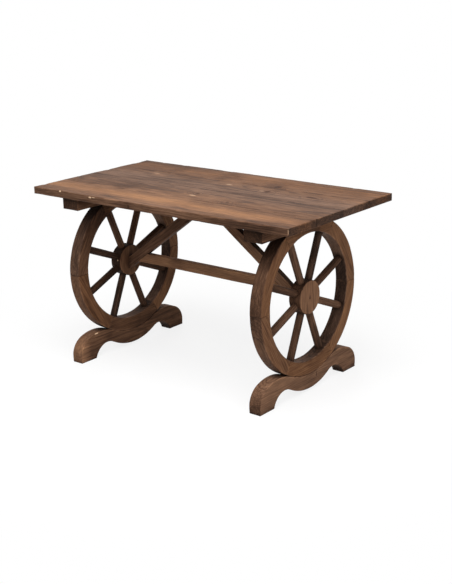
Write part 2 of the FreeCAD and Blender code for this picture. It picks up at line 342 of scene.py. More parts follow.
def placed(name, data):
    thing = bpy.data.objects.new(name, data)
    bpy.context.scene.collection.objects.link(thing)
    return thing


def add_piece(name, points, faces, grain, along, look, material, slot, *nodes):
    """A visible piece that stands for CAD nodes, with what its timber material reads at each point.
    look is its tone, warmth and edge wear."""
    mesh = bpy.data.meshes.new(name)
    mesh.from_pydata(points.tolist(), [], faces)
    mesh.update()
    mesh.shade_smooth()
    count = len(points)
    normals = np.empty(count * 3)
    mesh.vertex_normals.foreach_get("vector", normals)
    end_grain = (normals.reshape(-1, 3) @ unit(along)) ** 2
    looks = np.stack([np.broadcast_to(v, count) for v in (*look, end_grain)], axis=-1)
    mesh.attributes.new("grain", "FLOAT_VECTOR", "POINT").data.foreach_set("vector", grain.ravel())
    mesh.attributes.new("look", "FLOAT_COLOR", "POINT").data.foreach_set("color", looks.ravel())
    mesh.materials.append(material)
    piece = placed(name, mesh)
    piece.modifiers.new("even_shading", "WEIGHTED_NORMAL")
    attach(piece, "root")
    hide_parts(*nodes)


def add_timber(seed, node, shape, log, tone, more_tone=0.0, more_warm=0.0):
    """A piece of the frame that stands for one node; shape is its points, faces and nearness to an edge.
    log is a place in the piece, the way of its grain and a way across. Its tone is a little its own."""
    points, faces, edge = shape
    draw = np.random.default_rng(seed)
    tone = tone + draw.uniform(-TONE_SPREAD, TONE_SPREAD) + more_tone
    look = (tone, draw.uniform(*WARMTH_RANGE) + more_warm, edge)
    grain = sawn(seed, points, *log)
    add_piece(f"{node}_timber", points, faces, grain, log[1], look, FRAME_WOOD, "frame_wood", node)


# Node helpers

def blank_tree(owner):
    """Empties the nodes of a material or a world."""
    owner.use_nodes = True
    owner.node_tree.nodes.clear()
    return owner.node_tree


def put(tree, kind, inputs=None, **settings):
    """Adds a node; each input is a value or the socket that feeds it."""
    node = tree.nodes.new("ShaderNode" + kind)
    for key, value in settings.items():
        setattr(node, key, value)
    for key, value in (inputs or {}).items():
        if isinstance(value, bpy.types.NodeSocket):
            tree.links.new(value, node.inputs[key])
        else:
            node.inputs[key].default_value = value
    return node


def calc(tree, operation, *values):
    return put(tree, "Math", dict(enumerate(values)), operation=operation).outputs[0]


def vector_calc(tree, operation, *values, output="Vector"):
    return put(tree, "VectorMath", dict(enumerate(values)), operation=operation).outputs[output]


def position(tree):
    return put(tree, "NewGeometry").outputs["Position"]


def noise(tree, vector, scale, detail=2.0, roughness=0.5):
    """Soft noise between 0 and 1; scale is how many turns it makes per metre on each axis."""
    scaled = vector_calc(tree, "MULTIPLY", vector, scale)
    inputs = {"Vector": scaled, "Scale": 1.0, "Detail": detail, "Roughness": roughness}
    return put(tree, "TexNoise", inputs).outputs["Fac"]


def remap(tree, value, low, high, to_low=0.0, to_high=1.0, kind="SMOOTHSTEP"):
    inputs = {"Value": value, "From Min": low, "From Max": high, "To Min": to_low, "To Max": to_high}
    return put(tree, "MapRange", inputs, interpolation_type=kind).outputs["Result"]


def add_up(tree, start, parts, amounts):
    """A start value plus each named part times its amount."""
    for part, amount in amounts.items():
        start = calc(tree, "MULTIPLY_ADD", parts[part], amount, start)
    return start


def mix(tree, share, first, second):
    return put(tree, "Mix", {0: share, 6: first, 7: second}, data_type="RGBA").outputs[2]


def ramp(tree, value, stops):
    node = put(tree, "ValToRGB", {"Fac": value})
    elements = node.color_ramp.elements
    while len(elements) < len(stops):
        elements.new(0.5)
    for element, (place, colour) in zip(elements, stops):
        element.position = place
        element.color = colour
    return node.outputs["Color"]


def shade(red, green, blue):
    """An 8-bit screen colour as the linear colour that nodes use."""
    channels = (c / 255 for c in (red, green, blue))
    linear = [c / 12.92 if c <= 0.04045 else ((c + 0.055) / 1.055) ** 2.4 for c in channels]
    return (*linear, 1.0)


def skin(tree, colour, roughness, height, strength, depth, shine=0.5, metal=0.0):
    """The surface of a material, with a bump of this strength and depth."""
    bump = put(tree, "Bump", {"Strength": strength, "Distance": depth, "Height": height}).outputs["Normal"]
    inputs = {"Base Color": colour, "Roughness": roughness, "Normal": bump}
    inputs.update({"Specular IOR Level": shine, "Metallic": metal})
    put(tree, "OutputMaterial", {"Surface": put(tree, "BsdfPrincipled", inputs).outputs["BSDF"]})


# Timber

CHARRED = shade(44, 29, 20)
DEEP_BROWN = shade(83, 57, 41)
MID_BROWN = shade(125, 90, 66)
LIGHT_BROWN = shade(158, 116, 83)
TAN = shade(192, 146, 106)
RAW_WOOD = shade(232, 196, 160)
KNOT_WOOD = shade(58, 36, 25)
WOOD_TONES = ((0.0, CHARRED), (0.27, DEEP_BROWN), (0.52, MID_BROWN), (0.76, LIGHT_BROWN), (1.0, TAN))
SATURATION = (0.70, 1.15)

# Growth rings: spacing, the noises that bend them with their size, their unevenness and their late wood
RING_SPACING = 0.0050
RING_BENDS = (((1.4, 6.0, 6.0), 0.036), ((7.0, 30.0, 30.0), 0.004))
UNEVEN_SCALE = 45.0
UNEVEN_RINGS = 3.0
LATE_WOOD = ((0.55, 0.05), (0.84, 0.88), (0.94, 1.0))
FAINTEST_RING = 0.35

# Noises in the grain, as turns per metre along and across it, detail and roughness
GRAIN_NOISES = {
    "streak": ((2.6, 70.0, 70.0), 3.0, 0.55),
    "mottle": ((3.0, 12.0, 12.0), 2.0, 0.5),
    "brush": ((16.0, 190.0, 190.0), 2.0, 0.6),
    "fibre": ((14.0, 620.0, 620.0), 3.0, 0.6),
    "hair": ((40.0, 1900.0, 1900.0), 2.0, 0.6)}

# Noises in space: ragged rims of marks, scorched places and worn patches, and the range of each that counts
RAGGED = ((260.0, 260.0, 260.0), 3.0, 0.7)
SCORCH = (5.0, 5.0, 5.0)
SCORCH_RANGE = (0.52, 0.75)
PATCH = (16.0, 16.0, 16.0)
PATCH_RANGE = (0.40, 0.66)
# Dirt and painted shade: how far the occlusion test looks, and the range of it that darkens hollows and
# joints
GRIME_AND_SHADE_REACH = 0.03
GRIME_AND_SHADE_RANGE = (0.25, 0.95)

# How much each part changes the tone, height and roughness; a timber's contrast scales the coarse tones
COARSE_TONES = {"streak": 0.40, "mottle": 0.34, "brush": 0.62, "late_wood": -0.22}
# The last tone darkens hollows and joints as dirt and painted shade
FINE_TONES = {
    "fibre": 0.42, "hair": 0.20, "end_grain": -0.22, "scorch": -0.16, "worn": 0.26, "arris": -0.06,
    "grime_and_shade": -0.34}
HEIGHTS = {"fibre": 0.7, "late_wood": 0.55, "hair": 0.25}
ROUGHNESSES = {"late_wood": -0.08, "fibre": 0.22}

# Knots and marks: how ragged they are, from where to where they fade, and how much of a knot's wood shows
KNOT_RAGGED = 0.5
KNOT_FADE = (0.75, 1.45)
KNOT_STRENGTH = 0.95
MARK_RAGGED = 0.9
MARK_FADE = (0.9, 1.25)


def spot(tree, place, centre, reach):
    """Distance of a point from a mark's middle, in its own reaches, so the mark ends at 1."""
    offset = vector_calc(tree, "SUBTRACT", place, centre)
    scaled = vector_calc(tree, "MULTIPLY", offset, tuple(1 / r for r in reach))
    return vector_calc(tree, "LENGTH", scaled, output="Value")


def knot_field(tree, place, ragged, knots):
    """How far the rings are pushed aside around the knots, and where the knots' own wood shows."""
    push = 0.0
    core = 0.0
    for centre, core_reach, swirl_reach, lift in knots:
        swell = remap(tree, spot(tree, place, centre, swirl_reach), 0.0, 1.0, lift, 0.0)
        push = calc(tree, "ADD", swell, push)
        distance = calc(tree, "MULTIPLY_ADD", ragged, KNOT_RAGGED, spot(tree, place, centre, core_reach))
        core = calc(tree, "MAXIMUM", remap(tree, distance, *KNOT_FADE, KNOT_STRENGTH, 0.0), core)
    return push, core


def growth_rings(tree, grain, push):
    """How much of the hard, dark late wood of the rings round the heart shows at a point."""
    parts = put(tree, "SeparateXYZ", {"Vector": grain}).outputs
    squares = [calc(tree, "POWER", parts[axis], 2.0) for axis in ("Y", "Z")]
    from_heart = calc(tree, "SQRT", calc(tree, "ADD", *squares))
    for scale, amount in RING_BENDS:
        from_heart = calc(tree, "MULTIPLY_ADD", noise(tree, grain, scale), amount, from_heart)
    from_heart = calc(tree, "ADD", from_heart, push)
    wave = {"W": from_heart, "Scale": UNEVEN_SCALE, "Detail": 1.0}
    uneven = put(tree, "TexNoise", wave, noise_dimensions="1D").outputs["Fac"]
    even = calc(tree, "DIVIDE", from_heart, RING_SPACING)
    ring = calc(tree, "MULTIPLY_ADD", uneven, UNEVEN_RINGS, even)
    late = put(tree, "FloatCurve", {"Value": calc(tree, "FRACT", ring)})
    curve = late.mapping.curves[0]
    for stop in LATE_WOOD:
        curve.points.new(*stop)
    curve.points[0].location = (0.0, 0.0)
    curve.points[-1].location = (1.0, 0.0)
    late.mapping.update()
    of_ring = put(tree, "TexWhiteNoise", {"W": calc(tree, "FLOOR", ring)}, noise_dimensions="1D")
    strength = remap(tree, of_ring.outputs["Value"], 0.0, 1.0, FAINTEST_RING, 1.0)
    return calc(tree, "MULTIPLY", late.outputs["Value"], strength)


def paint_marks(tree, colour, place, ragged, marks, paint):
    """Adds small ragged marks of one colour, given as (middle, reach, strength)."""
    for centre, reach, amount in marks:
        distance = calc(tree, "MULTIPLY_ADD", ragged, MARK_RAGGED, spot(tree, place, centre, reach))
        colour = mix(tree, remap(tree, distance, *MARK_FADE, amount, 0.0), colour, paint)
    return colour


def timber(name, roughness, contrast, knots, flecks, cracks):
    """Charred and brushed softwood: growth rings round the heart, fibres, streaks, worn edges and marks."""
    material = bpy.data.materials.new(name)
    tree = blank_tree(material)
    grain = put(tree, "Attribute", attribute_name="grain").outputs["Vector"]
    look = put(tree, "Attribute", attribute_name="look").outputs
    tone, warm, edge = put(tree, "SeparateColor", {"Color": look["Color"]}).outputs
    place = position(tree)
    ragged = noise(tree, place, *RAGGED)
    push, knot_core = knot_field(tree, place, ragged, knots)

    # Worn arrises show paler wood in patches, and hollows and joints are darkened where little sky is open,
    # as dirt and painted shade
    parts = {part: noise(tree, grain, *field) for part, field in GRAIN_NOISES.items()}
    parts.update({"late_wood": growth_rings(tree, grain, push), "end_grain": look["Alpha"], "arris": edge})
    parts["scorch"] = remap(tree, noise(tree, place, SCORCH), *SCORCH_RANGE)
    parts["worn"] = calc(tree, "MULTIPLY", edge, remap(tree, noise(tree, place, PATCH), *PATCH_RANGE))
    open_sky = put(tree, "AmbientOcclusion", {"Distance": GRIME_AND_SHADE_REACH}, samples=8).outputs["AO"]
    parts["grime_and_shade"] = remap(tree, open_sky, *GRIME_AND_SHADE_RANGE, 1.0, 0.0)

    # The noises swing about 0.5, which leaves the tone as it is
    amounts = {part: amount * contrast for part, amount in COARSE_TONES.items()} | FINE_TONES
    at_rest = 0.5 * sum(amounts[part] for part in GRAIN_NOISES)
    tone = add_up(tree, calc(tree, "SUBTRACT", tone, at_rest), parts, amounts)
    saturation = remap(tree, warm, 0.0, 1.0, *SATURATION)
    greyed = put(tree, "HueSaturation", {"Saturation": saturation, "Color": ramp(tree, tone, WOOD_TONES)})
    colour = mix(tree, knot_core, greyed.outputs["Color"], KNOT_WOOD)
    colour = paint_marks(tree, colour, place, ragged, flecks, RAW_WOOD)
    colour = paint_marks(tree, colour, place, ragged, cracks, CHARRED)

    # Brushing leaves the hard late wood standing
    height = add_up(tree, 0.0, parts, HEIGHTS)
    rough = add_up(tree, roughness, parts, ROUGHNESSES)
    skin(tree, colour, rough, height, strength=0.55, depth=0.0007, shine=0.06)
    return material


def screw_steel():
    """Zinc-plated steel with a brushed, slightly stained skin."""
    material = bpy.data.materials.new("screw_steel")
    tree = blank_tree(material)
    place = position(tree)
    stain = noise(tree, place, scale=(420.0, 420.0, 420.0), detail=3.0, roughness=0.6)
    brushed = noise(tree, place, scale=(300.0, 2400.0, 2400.0), detail=2.0, roughness=0.6)
    colour = ramp(tree, stain, ((0.3, shade(120, 108, 86)), (0.7, shade(190, 184, 168))))
    rough = remap(tree, brushed, 0.0, 1.0, to_low=0.22, to_high=0.52, kind="LINEAR")
    skin(tree, colour, rough, brushed, strength=0.3, depth=0.0001, metal=1.0)
    return material


def dowel_wood():
    """Pale straight-grained hardwood of the dowels in the rims' joints."""
    material = bpy.data.materials.new("dowel_wood")
    tree = blank_tree(material)
    fibre = noise(tree, position(tree), scale=(900.0, 120.0, 120.0), detail=3.0, roughness=0.6)
    colour = ramp(tree, fibre, ((0.3, shade(150, 112, 78)), (0.7, shade(196, 158, 118))))
    rough = remap(tree, fibre, 0.0, 1.0, to_low=0.5, to_high=0.7, kind="LINEAR")
    skin(tree, colour, rough, fibre, strength=0.3, depth=0.0002)
    return material


# The upper, front and right faces of the top, where marks lie
TOP_LEVEL = cad_box[1].z
TOP_FRONT = cad_box[0].y
TOP_RIGHT = cad_box[1].x

# Knots that the photograph shows: middle, reach of the knot, reach of the rings around it, how far they move
KNOTS = (
    ((0.183, 0.165, TOP_LEVEL), (0.015, 0.020, 0.05), (0.070, 0.048, 0.05), 0.035),
    ((0.197, 0.086, TOP_LEVEL), (0.012, 0.014, 0.05), (0.055, 0.036, 0.05), 0.028),
    ((0.378, 0.091, TOP_LEVEL), (0.026, 0.010, 0.05), (0.070, 0.032, 0.05), 0.028),
    ((0.012, -0.068, TOP_LEVEL), (0.011, 0.007, 0.05), (0.060, 0.036, 0.05), 0.030),
    ((0.183, -0.117, TOP_LEVEL), (0.005, 0.007, 0.05), (0.050, 0.032, 0.05), 0.024),
)

# Bare flecks and dark cracks that the photograph shows: middle, reach and strength
TOP_FLECKS = (
    ((0.010, 0.108, TOP_LEVEL), (0.024, 0.008, 0.004), 0.34),
    ((0.014, -0.098, TOP_LEVEL), (0.022, 0.008, 0.004), 0.44),
    ((-0.350, 0.122, TOP_LEVEL), (0.022, 0.008, 0.004), 0.26),
    ((0.172, 0.086, TOP_LEVEL), (0.014, 0.008, 0.004), 0.26),
    ((-0.429, TOP_FRONT, 0.6476), (0.0065, 0.008, 0.0040), 0.95),
    ((-0.279, TOP_FRONT, 0.6440), (0.0110, 0.008, 0.0046), 0.95),
    ((-0.263, TOP_FRONT, 0.6452), (0.0120, 0.008, 0.0022), 0.70),
    ((TOP_RIGHT, TOP_FRONT, 0.640), (0.0034, 0.0034, 0.013), 0.32),
)
TOP_CRACKS = (
    ((-0.098, TOP_FRONT, 0.633), (0.0075, 0.006, 0.0110), 0.7),
)
FRAME_FLECKS = (
    ((-0.3895, -0.201, 0.0971), (0.006, 0.015, 0.005), 0.95),
    ((-0.4009, -0.0587, 0.3433), (0.0045, 0.006, 0.0050), 0.60),
)
FRAME_CRACKS = (
    ((0.4355, 0.038, 0.048), (0.006, 0.003, 0.014), 0.9),
    ((-0.3895, 0.0034, 0.3519), (0.004, 0.0042, 0.0042), 0.8),
    ((0.4030, -0.2725, 0.3270), (0.012, 0.006, 0.0075), 0.75),
)

# Materials; the two numbers of a timber are its roughness and its contrast
TOP_WOOD = timber("top_wood", 0.48, 0.9, knots=KNOTS, flecks=TOP_FLECKS, cracks=TOP_CRACKS)
FRAME_WOOD = timber("frame_wood", 0.54, 0.8, knots=(), flecks=FRAME_FLECKS, cracks=FRAME_CRACKS)
STEEL = screw_steel()
DOWEL_WOOD = dowel_wood()


# Tones of the pieces, from 0 for charred to 1 for tan
BATTEN_TONE = 0.40
FOOT_TONES = {"left": 0.38, "right": 0.47}
FOOT_END_TONES = {"left": 0.40, "right": 0.06}
FOOT_END_REACH = 0.05
# On the left wheel, felloes 1, 2 and 6 are painted lighter, as painted light on the inner face that the top
# shades
FELLOE_TONES_AND_LIGHT = {"left": (0.60, 0.45, 0.34, 0.34, 0.37, 0.57), "right": (0.50, 0.46, 0.44, 0.46, 0.48, 0.56)}
FELLOE_WARMTH = 0.12
SPOKE_TONES = {
    "left": (0.23, 0.33, 0.42, 0.17, 0.08, 0.11, 0.19, 0.33),
    "right": (0.29, 0.19, 0.37, 0.25, 0.28, 0.18, 0.32, 0.38)}
HUB_TONES = {"left": 0.41, "right": 0.57}
HUB_WALL_TONE = -0.30
BRACE_TONES = {"left": 0.36, "right": 0.60}
# Painted shadow of the top on the braces' upper faces
BRACE_TOP_SHADOW = 0.40
STRETCHER_TONE = 0.62
STRETCHER_SHADE = 0.75

# Tone, warmth and edge wear of the plugs and the screws; steel reads none of them
PLUG_LOOK = (0.40, 0.5, 0.0)
SCREW_LOOK = (0.5, 0.5, 0.0)

# How the inside and the tread of a rim differ from its cheeks, by angle from the back of the table upwards
# The inside is darker, as charred wood, with a lighter band from about 30 to 62 degrees that is painted light
INSIDE_TONES_AND_LIGHT = (
    (0, -0.38), (22, -0.34), (30, -0.02), (62, 0.0), (85, -0.14), (180, -0.16), (270, -0.10), (300, -0.20),
    (315, -0.33), (330, -0.32), (360, -0.38))
# The tread is a little darker than the cheeks; its deep dip from about 95 to 140 degrees is painted shadow of
# the top
TREAD_TONES_AND_SHADOW = {
    "left": (
        (0, -0.09), (80, -0.14), (95, -0.40), (120, -0.32), (140, -0.06), (165, -0.09), (180, 0.05),
        (235, 0.09), (270, 0.0), (360, -0.09)),
    "right": (
        (0, -0.09), (80, -0.14), (95, -0.45), (136, -0.40), (150, -0.20), (178, -0.16), (195, -0.08),
        (210, 0.03), (225, -0.08), (360, -0.08))}
INSIDE_WARMTH = -0.30
TREAD_WARMTH = -0.16

# How far the tone of one face reaches round its edges
SKIN_REACH = 0.004


# Boards

# Rounding of edges by face, upper or lower: base radius, wear, chips and gouges
OUTER_EDGE = {1: (0.0018, 0.0036, 0.0050), -1: (0.0018, 0.0020, 0.0025)}
FRONT_GOUGES = ((0.335, 0.405, 0.0030), (0.405, 0.472, 0.0060))
FRONT_EDGE = {1: (0.0018, 0.0030, 0.0044, FRONT_GOUGES), -1: OUTER_EDGE[-1]}
SEAM_EDGE = {1: (0.0007, 0.0006, 0.0004), -1: (0.0010, 0.0006, 0.0004)}
END_EDGE = {1: (0.0016, 0.0046, 0.0070), -1: (0.0015, 0.0016, 0.0020)}
CORNER_ZONE = 0.02
CORNER_RADIUS = 0.0018
MOST_ROUNDING = 0.9

# A piece's four long edges, by side and face, and what is rounded alike on them or on the ends
FOUR_EDGES = [(side, face) for side in (-1, 1) for face in (-1, 1)]
FRAME_EDGES = dict.fromkeys(FOUR_EDGES, (0.0020, 0.0022, 0.0016))
RAIL_END_EDGES = dict.fromkeys(FOUR_EDGES, (0.0006, 0, 0))
PLANK_END_EDGES = {(end, face): END_EDGE[face] for end, face in FOUR_EDGES}

# The long edges of the planks, from front to back
PLANK_EDGES = (FRONT_EDGE, SEAM_EDGE, SEAM_EDGE, SEAM_EDGE, OUTER_EDGE)

# Steps of the grids along, across and through each kind of piece
PLANK_GRID = (0.008, 0.010, 0.010)
BATTEN_GRID = (0.012, 0.012, 0.012)
FELLOE_GRID = (0.007, 0.010, 0.010)
RAIL_GRID = (0.012, 0.006, 0.006)
FOOT_GRID = 0.010


def by_edge(edges, seeds, side, face, along):
    """The rounding at each point, from the edge on its side and face; every edge has its own seed."""
    radius = np.zeros(len(along))
    for key, seed in zip(FOUR_EDGES, seeds):
        picked = (side == key[0]) & (face == key[1])
        radius[picked] = worn_edge(seed, along[picked], *edges[key])
    return radius


def arris_radii(points, seed, edge, end_radius):
    """Roundings for a piece with four long edges that wear alike, and plain ends."""
    _, side, face = np.where(points > 0, 1, -1).T
    seeds = range(seed + 3, seed - 1, -1)
    radius = by_edge(dict.fromkeys(FOUR_EDGES, edge), seeds, side, face, points[:, 0])
    return np.stack([np.full(len(points), end_radius), radius, radius], axis=-1)


def board_radii(points, seed, long_edges, end_edges):
    """Roundings for a straight board: its edges along the first axis, by side and face, and at its two ends.
    long_edges and end_edges map (side, face) to what worn_edge takes."""
    half = points.max(axis=0)
    end, side, face = np.where(points > 0, 1, -1).T
    long_radius = by_edge(long_edges, range(seed, seed + 40, 10), side, face, points[:, 0])
    end_radius = by_edge(end_edges, range(seed + 5, seed + 45, 10), end, face, points[:, 1])
    near_end, near_side, _ = near(half - np.abs(points), CORNER_ZONE).T
    out_end = (1 - near_side) * end_radius + near_side * CORNER_RADIUS
    out_side = (1 - near_end) * long_radius + near_end * CORNER_RADIUS
    thick = near_end * out_end + (1 - near_end) * out_side
    return np.minimum(np.stack([out_end, out_side, thick], axis=-1), half[2] * MOST_ROUNDING)


# Top: tone and warmth from front to back, which sway along the planks, and more shade towards the left
TONE_ACROSS = (
    (-0.300, 0.38), (-0.262, 0.43), (-0.240, 0.63), (-0.205, 0.64), (-0.170, 0.47), (-0.050, 0.43),
    (-0.010, 0.39), (0.040, 0.42), (0.150, 0.42), (0.250, 0.48), (0.300, 0.37))
WARMTH_ACROSS = (
    (-0.300, 0.50), (-0.210, 0.66), (-0.170, 0.57), (-0.100, 0.53), (-0.020, 0.38), (0.050, 0.36),
    (0.120, 0.51), (0.250, 0.70), (0.300, 0.50))
SWAY_STEP = 0.35
SWAY = 0.03
LEFT_SHADE = 0.06

# How each plank's tone changes along it, from left to right, and where the heart of its log lies
PLANK_TONES = (
    ((-0.50, 0.03), (-0.25, 0.05), (0.10, 0.12), (0.30, -0.02), (0.50, -0.09)),
    ((-0.45, -0.04), (-0.15, 0.06), (0.40, -0.08)),
    ((-0.50, 0.04), (0.10, -0.05), (0.50, 0.01)),
    ((-0.50, -0.05), (-0.35, -0.08), (-0.05, 0.05), (0.45, -0.04)))
PLANK_HEARTS = ((0.10, 1.20), (0.12, 1.55), (0.14, 1.90), (0.16, 2.25))

# The front edge's tone along it, with a dark patch left of the middle, and how much darker it is low down
FRONT_TONES = ((-0.20, 0.05), (-0.10, -0.18), (-0.06, -0.06), (0.18, 0.00), (0.36, -0.08), (0.55, -0.05))
FRONT_LOW_TONE = -0.05

# Stain beside the seams between planks, from front to back; it comes and goes, and is stronger at the ends
SEAM_STAINS = (0.02, 0.16, 0.03)
SEAM_END_STAINS = (0.30, 0.08, 0.06)
SEAM_STAIN_WIDTH = 0.006
SEAM_STEP = 0.4
SEAM_LEAST = 0.6
SEAM_SWING = 0.8


def seam_stain(number, points, low, high):
    """How much darker a plank is next to its seams."""
    x, y, _ = points.T
    at_end = near(np.minimum(x - low[0], high[0] - x), SEAM_STAIN_WIDTH)
    stain = np.zeros(len(points))
    for seam, from_seam in ((number - 1, y - low[1]), (number, high[1] - y)):
        if 0 <= seam < len(SEAM_STAINS):
            along = SEAM_STAINS[seam] * (SEAM_LEAST + SEAM_SWING * wander(50 + seam, x, SEAM_STEP))
            stain += np.maximum(along, SEAM_END_STAINS[seam] * at_end) * near(from_seam, SEAM_STAIN_WIDTH)
    return stain


def plank_look(seed, number, points, low, high):
    """The tone and warmth of a plank at each point."""
    x, y, z = points.T
    banded = y + (wander(seed + 60, x, SWAY_STEP) - 0.5) * SWAY
    tone = follow(TONE_ACROSS, banded) + follow(PLANK_TONES[number], x)
    tone -= LEFT_SHADE * np.clip(x / low[0], 0, 1) + seam_stain(number, points, low, high)
    low_down = (high[2] - z) / (high[2] - low[2])
    at_front = near(y - TOP_FRONT, SKIN_REACH)
    tone += at_front * (follow(FRONT_TONES, x) + FRONT_LOW_TONE * low_down)
    return tone, follow(WARMTH_ACROSS, banded)


def add_planks():
    for n, node in enumerate(PLANKS):
        centre, half = extent(node)
        seed = 100 + 100 * n
        edges = {(side, face): PLANK_EDGES[n + (side > 0)][face] for side, face in FOUR_EDGES}
        points, faces, edge = block(grid(half, PLANK_GRID), board_radii, seed, edges, PLANK_END_EDGES)
        points = points + centre
        grain = sawn(seed, points, centre, X_AXIS, Y_AXIS, PLANK_HEARTS[n])
        look = (*plank_look(seed, n, points, centre - half, centre + half), edge)
        add_piece(f"{node}_board", points, faces, grain, X_AXIS, look, TOP_WOOD, "top_wood", node)


# The end battens are this much wider towards the middle of the table than their solids
BATTEN_INWARD = 0.007


def add_cross_batten(seed, node, screw_node, screws, inward=0.0):
    """A batten across the underside, with bores for its screws on both sides of the table's middle.
    inward is how much wider it is towards the middle of the table's length."""
    centre, half = extent(node)
    screw_line = centre[0]
    half[0] += inward / 2
    centre[0] -= copysign(inward / 2, screw_line)
    off_middle = screw_line - centre[0]
    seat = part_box(screw_node)[0].z - centre[2] + half[2]
    half = half[[1, 0, 2]]
    places = [way * screw for screw in screws for way in (-1, 1)]
    along, across, deep = grid(half, BATTEN_GRID)
    lines = [open_lines(along, places), open_lines(across, (off_middle,)), deep]
    shape = block(lines, board_radii, seed, FRAME_EDGES, FRAME_EDGES)
    points, faces, edge = sink_bores(shape, 2, [(place, off_middle) for place in places], seat)
    shape = (points[:, [1, 0, 2]] + centre, [face[::-1] for face in faces], edge)
    add_timber(seed, node, shape, (centre, Y_AXIS, X_AXIS), BATTEN_TONE)


# Feet: half the depth of the block bent into one, its edges, its log's height, and its grid near the arch
FOOT_BLOCK = 0.027
FOOT_EDGE = (0.0018, 0.0016, 0.0010)
FOOT_SOLE_RADIUS = 0.0015
FOOT_TIP_RADIUS = 0.0004
FOOT_TIP_ARRIS = 0.0006
FOOT_HEART_HEIGHT = 0.05
FOOT_STEP = 0.007
STEEP_RUN = 0.010
STEEP_GAP = 0.002


def foot_curves(half, rim_radius):
    """Heights of a foot's underside and top at a distance from its middle, as two functions.
    Returns them with the places where the pad and the end's round begin."""
    pad_start = half - FOOT_PAD
    arch_z = ARCH_HEIGHT - ARCH_RADIUS
    arch_y = pad_start - sqrt(ARCH_RADIUS ** 2 - arch_z ** 2)
    # The belly's round touches the arch's from outside
    lift = BELLY_HEIGHT - arch_z
    belly_radius = (arch_y ** 2 + lift ** 2 - ARCH_RADIUS ** 2) / (2 * (ARCH_RADIUS - lift))
    belly_z = BELLY_HEIGHT + belly_radius
    belly_end = arch_y * belly_radius / (belly_radius + ARCH_RADIUS)
    # The hump's round touches the saddle's from outside and holds the end's round inside it
    saddle_radius = rim_radius + SADDLE_CLEARANCE
    saddle_z = WHEEL_REST_HEIGHT - SADDLE_CLEARANCE + saddle_radius
    end_y = half - FOOT_END_RADIUS
    end_z = HUMP_HEIGHT - FOOT_END_DROP - FOOT_END_RADIUS
    rise = saddle_z - HUMP_HEIGHT
    spare = saddle_radius ** 2 - rise ** 2
    slope = 2 * (saddle_radius - rise)
    share = 2 * FOOT_END_DROP / slope
    # Middle of the hump: (1 - share) y^2 - 2 end_y y + rest = 0
    rest = end_y ** 2 - (FOOT_END_RADIUS ** 2 - (FOOT_END_RADIUS + FOOT_END_DROP) ** 2) + share * spare
    hump_y = (end_y - sqrt(end_y ** 2 - (1 - share) * rest)) / (1 - share)
    hump_radius = (hump_y ** 2 - spare) / slope
    hump_z = HUMP_HEIGHT - hump_radius
    saddle_end = hump_y * saddle_radius / (saddle_radius + hump_radius)
    gap = hypot(end_y - hump_y, end_z - hump_z)
    hump_end = hump_y + (end_y - hump_y) * hump_radius / gap

    def rise_of(radius, away):
        return np.sqrt(np.clip(radius ** 2 - away ** 2, 0, None))

    def under(y):
        y = np.abs(y)
        belly = belly_z - rise_of(belly_radius, y)
        arch = arch_z + rise_of(ARCH_RADIUS, y - arch_y)
        return np.where(y < belly_end, belly, np.where(y < pad_start, arch, 0.0))

    def over(y):
        y = np.abs(y)
        saddle = saddle_z - rise_of(saddle_radius, y)
        hump = hump_z + rise_of(hump_radius, y - hump_y)
        end = end_z + rise_of(FOOT_END_RADIUS, y - end_y)
        return np.where(y < saddle_end, saddle, np.where(y < hump_end, hump, end))

    return under, over, pad_start, end_y


def foot_stations(half, pad_start, end_y):
    """Grid lines along a foot: even, but closer where its outline turns steep."""
    even = np.arange(0, pad_start - STEEP_RUN - STEEP_GAP, FOOT_STEP)
    steep = np.linspace(pad_start - STEEP_RUN, pad_start, num=9)
    pad = np.linspace(pad_start, end_y, num=3)[1:]
    turn = end_y + (half - end_y) * np.sin(np.linspace(0, pi / 2, num=18))[1:]
    right = np.concatenate([even, steep, pad, turn])
    return np.concatenate([-right[:0:-1], right])


def foot_radii(points, seed, under, over):
    """Roundings of the block that is bent into a foot: worn edges, round soles and sharp upper tips."""
    y, up, _ = points.T
    end, radius, _ = arris_radii(points, seed, FOOT_EDGE, FOOT_TIP_RADIUS).T
    at_end = near(y.max() - np.abs(y), SKIN_REACH)
    upright = np.where(up < 0, radius, (1 - at_end) * radius + at_end * FOOT_TIP_ARRIS)
    depth = (over(y) - under(y)) / (2 * FOOT_BLOCK)
    return np.stack([np.where(up < 0, FOOT_SOLE_RADIUS, end), upright / depth, radius], axis=-1)


def add_foot(seed, side, wheel_x, rim_radius):
    node = f"{side}_foot"
    half_width, half_length, _ = extent(node)[1]
    under, over, pad_start, end_y = foot_curves(half_length, rim_radius)
    screws = (-FOOT_SCREW, FOOT_SCREW)
    stations = open_lines(foot_stations(half_length, pad_start, end_y), screws)
    lines = [stations, ruled(FOOT_BLOCK, FOOT_GRID), open_lines(ruled(half_width, FOOT_GRID), (0.0,))]
    at_screw = under(FOOT_SCREW)
    seat = (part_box("foot_screws")[0].z - at_screw) / (over(FOOT_SCREW) - at_screw) * 2 * FOOT_BLOCK
    shape = block(lines, foot_radii, seed, under, over)
    points, faces, edge = sink_bores(shape, 1, [(screw, 0.0) for screw in screws], seat)
    y, up, across = points.T
    share = up / (2 * FOOT_BLOCK) + 0.5
    z = under(y) * (1 - share) + over(y) * share
    shape = (np.stack([wheel_x + across, y, z], axis=-1), faces, edge)
    end_tone = FOOT_END_TONES[side] * near(y + half_length, FOOT_END_REACH)
    log = ((wheel_x, 0, FOOT_HEART_HEIGHT), Y_AXIS, X_AXIS)
    add_timber(seed, node, shape, log, FOOT_TONES[side], end_tone)


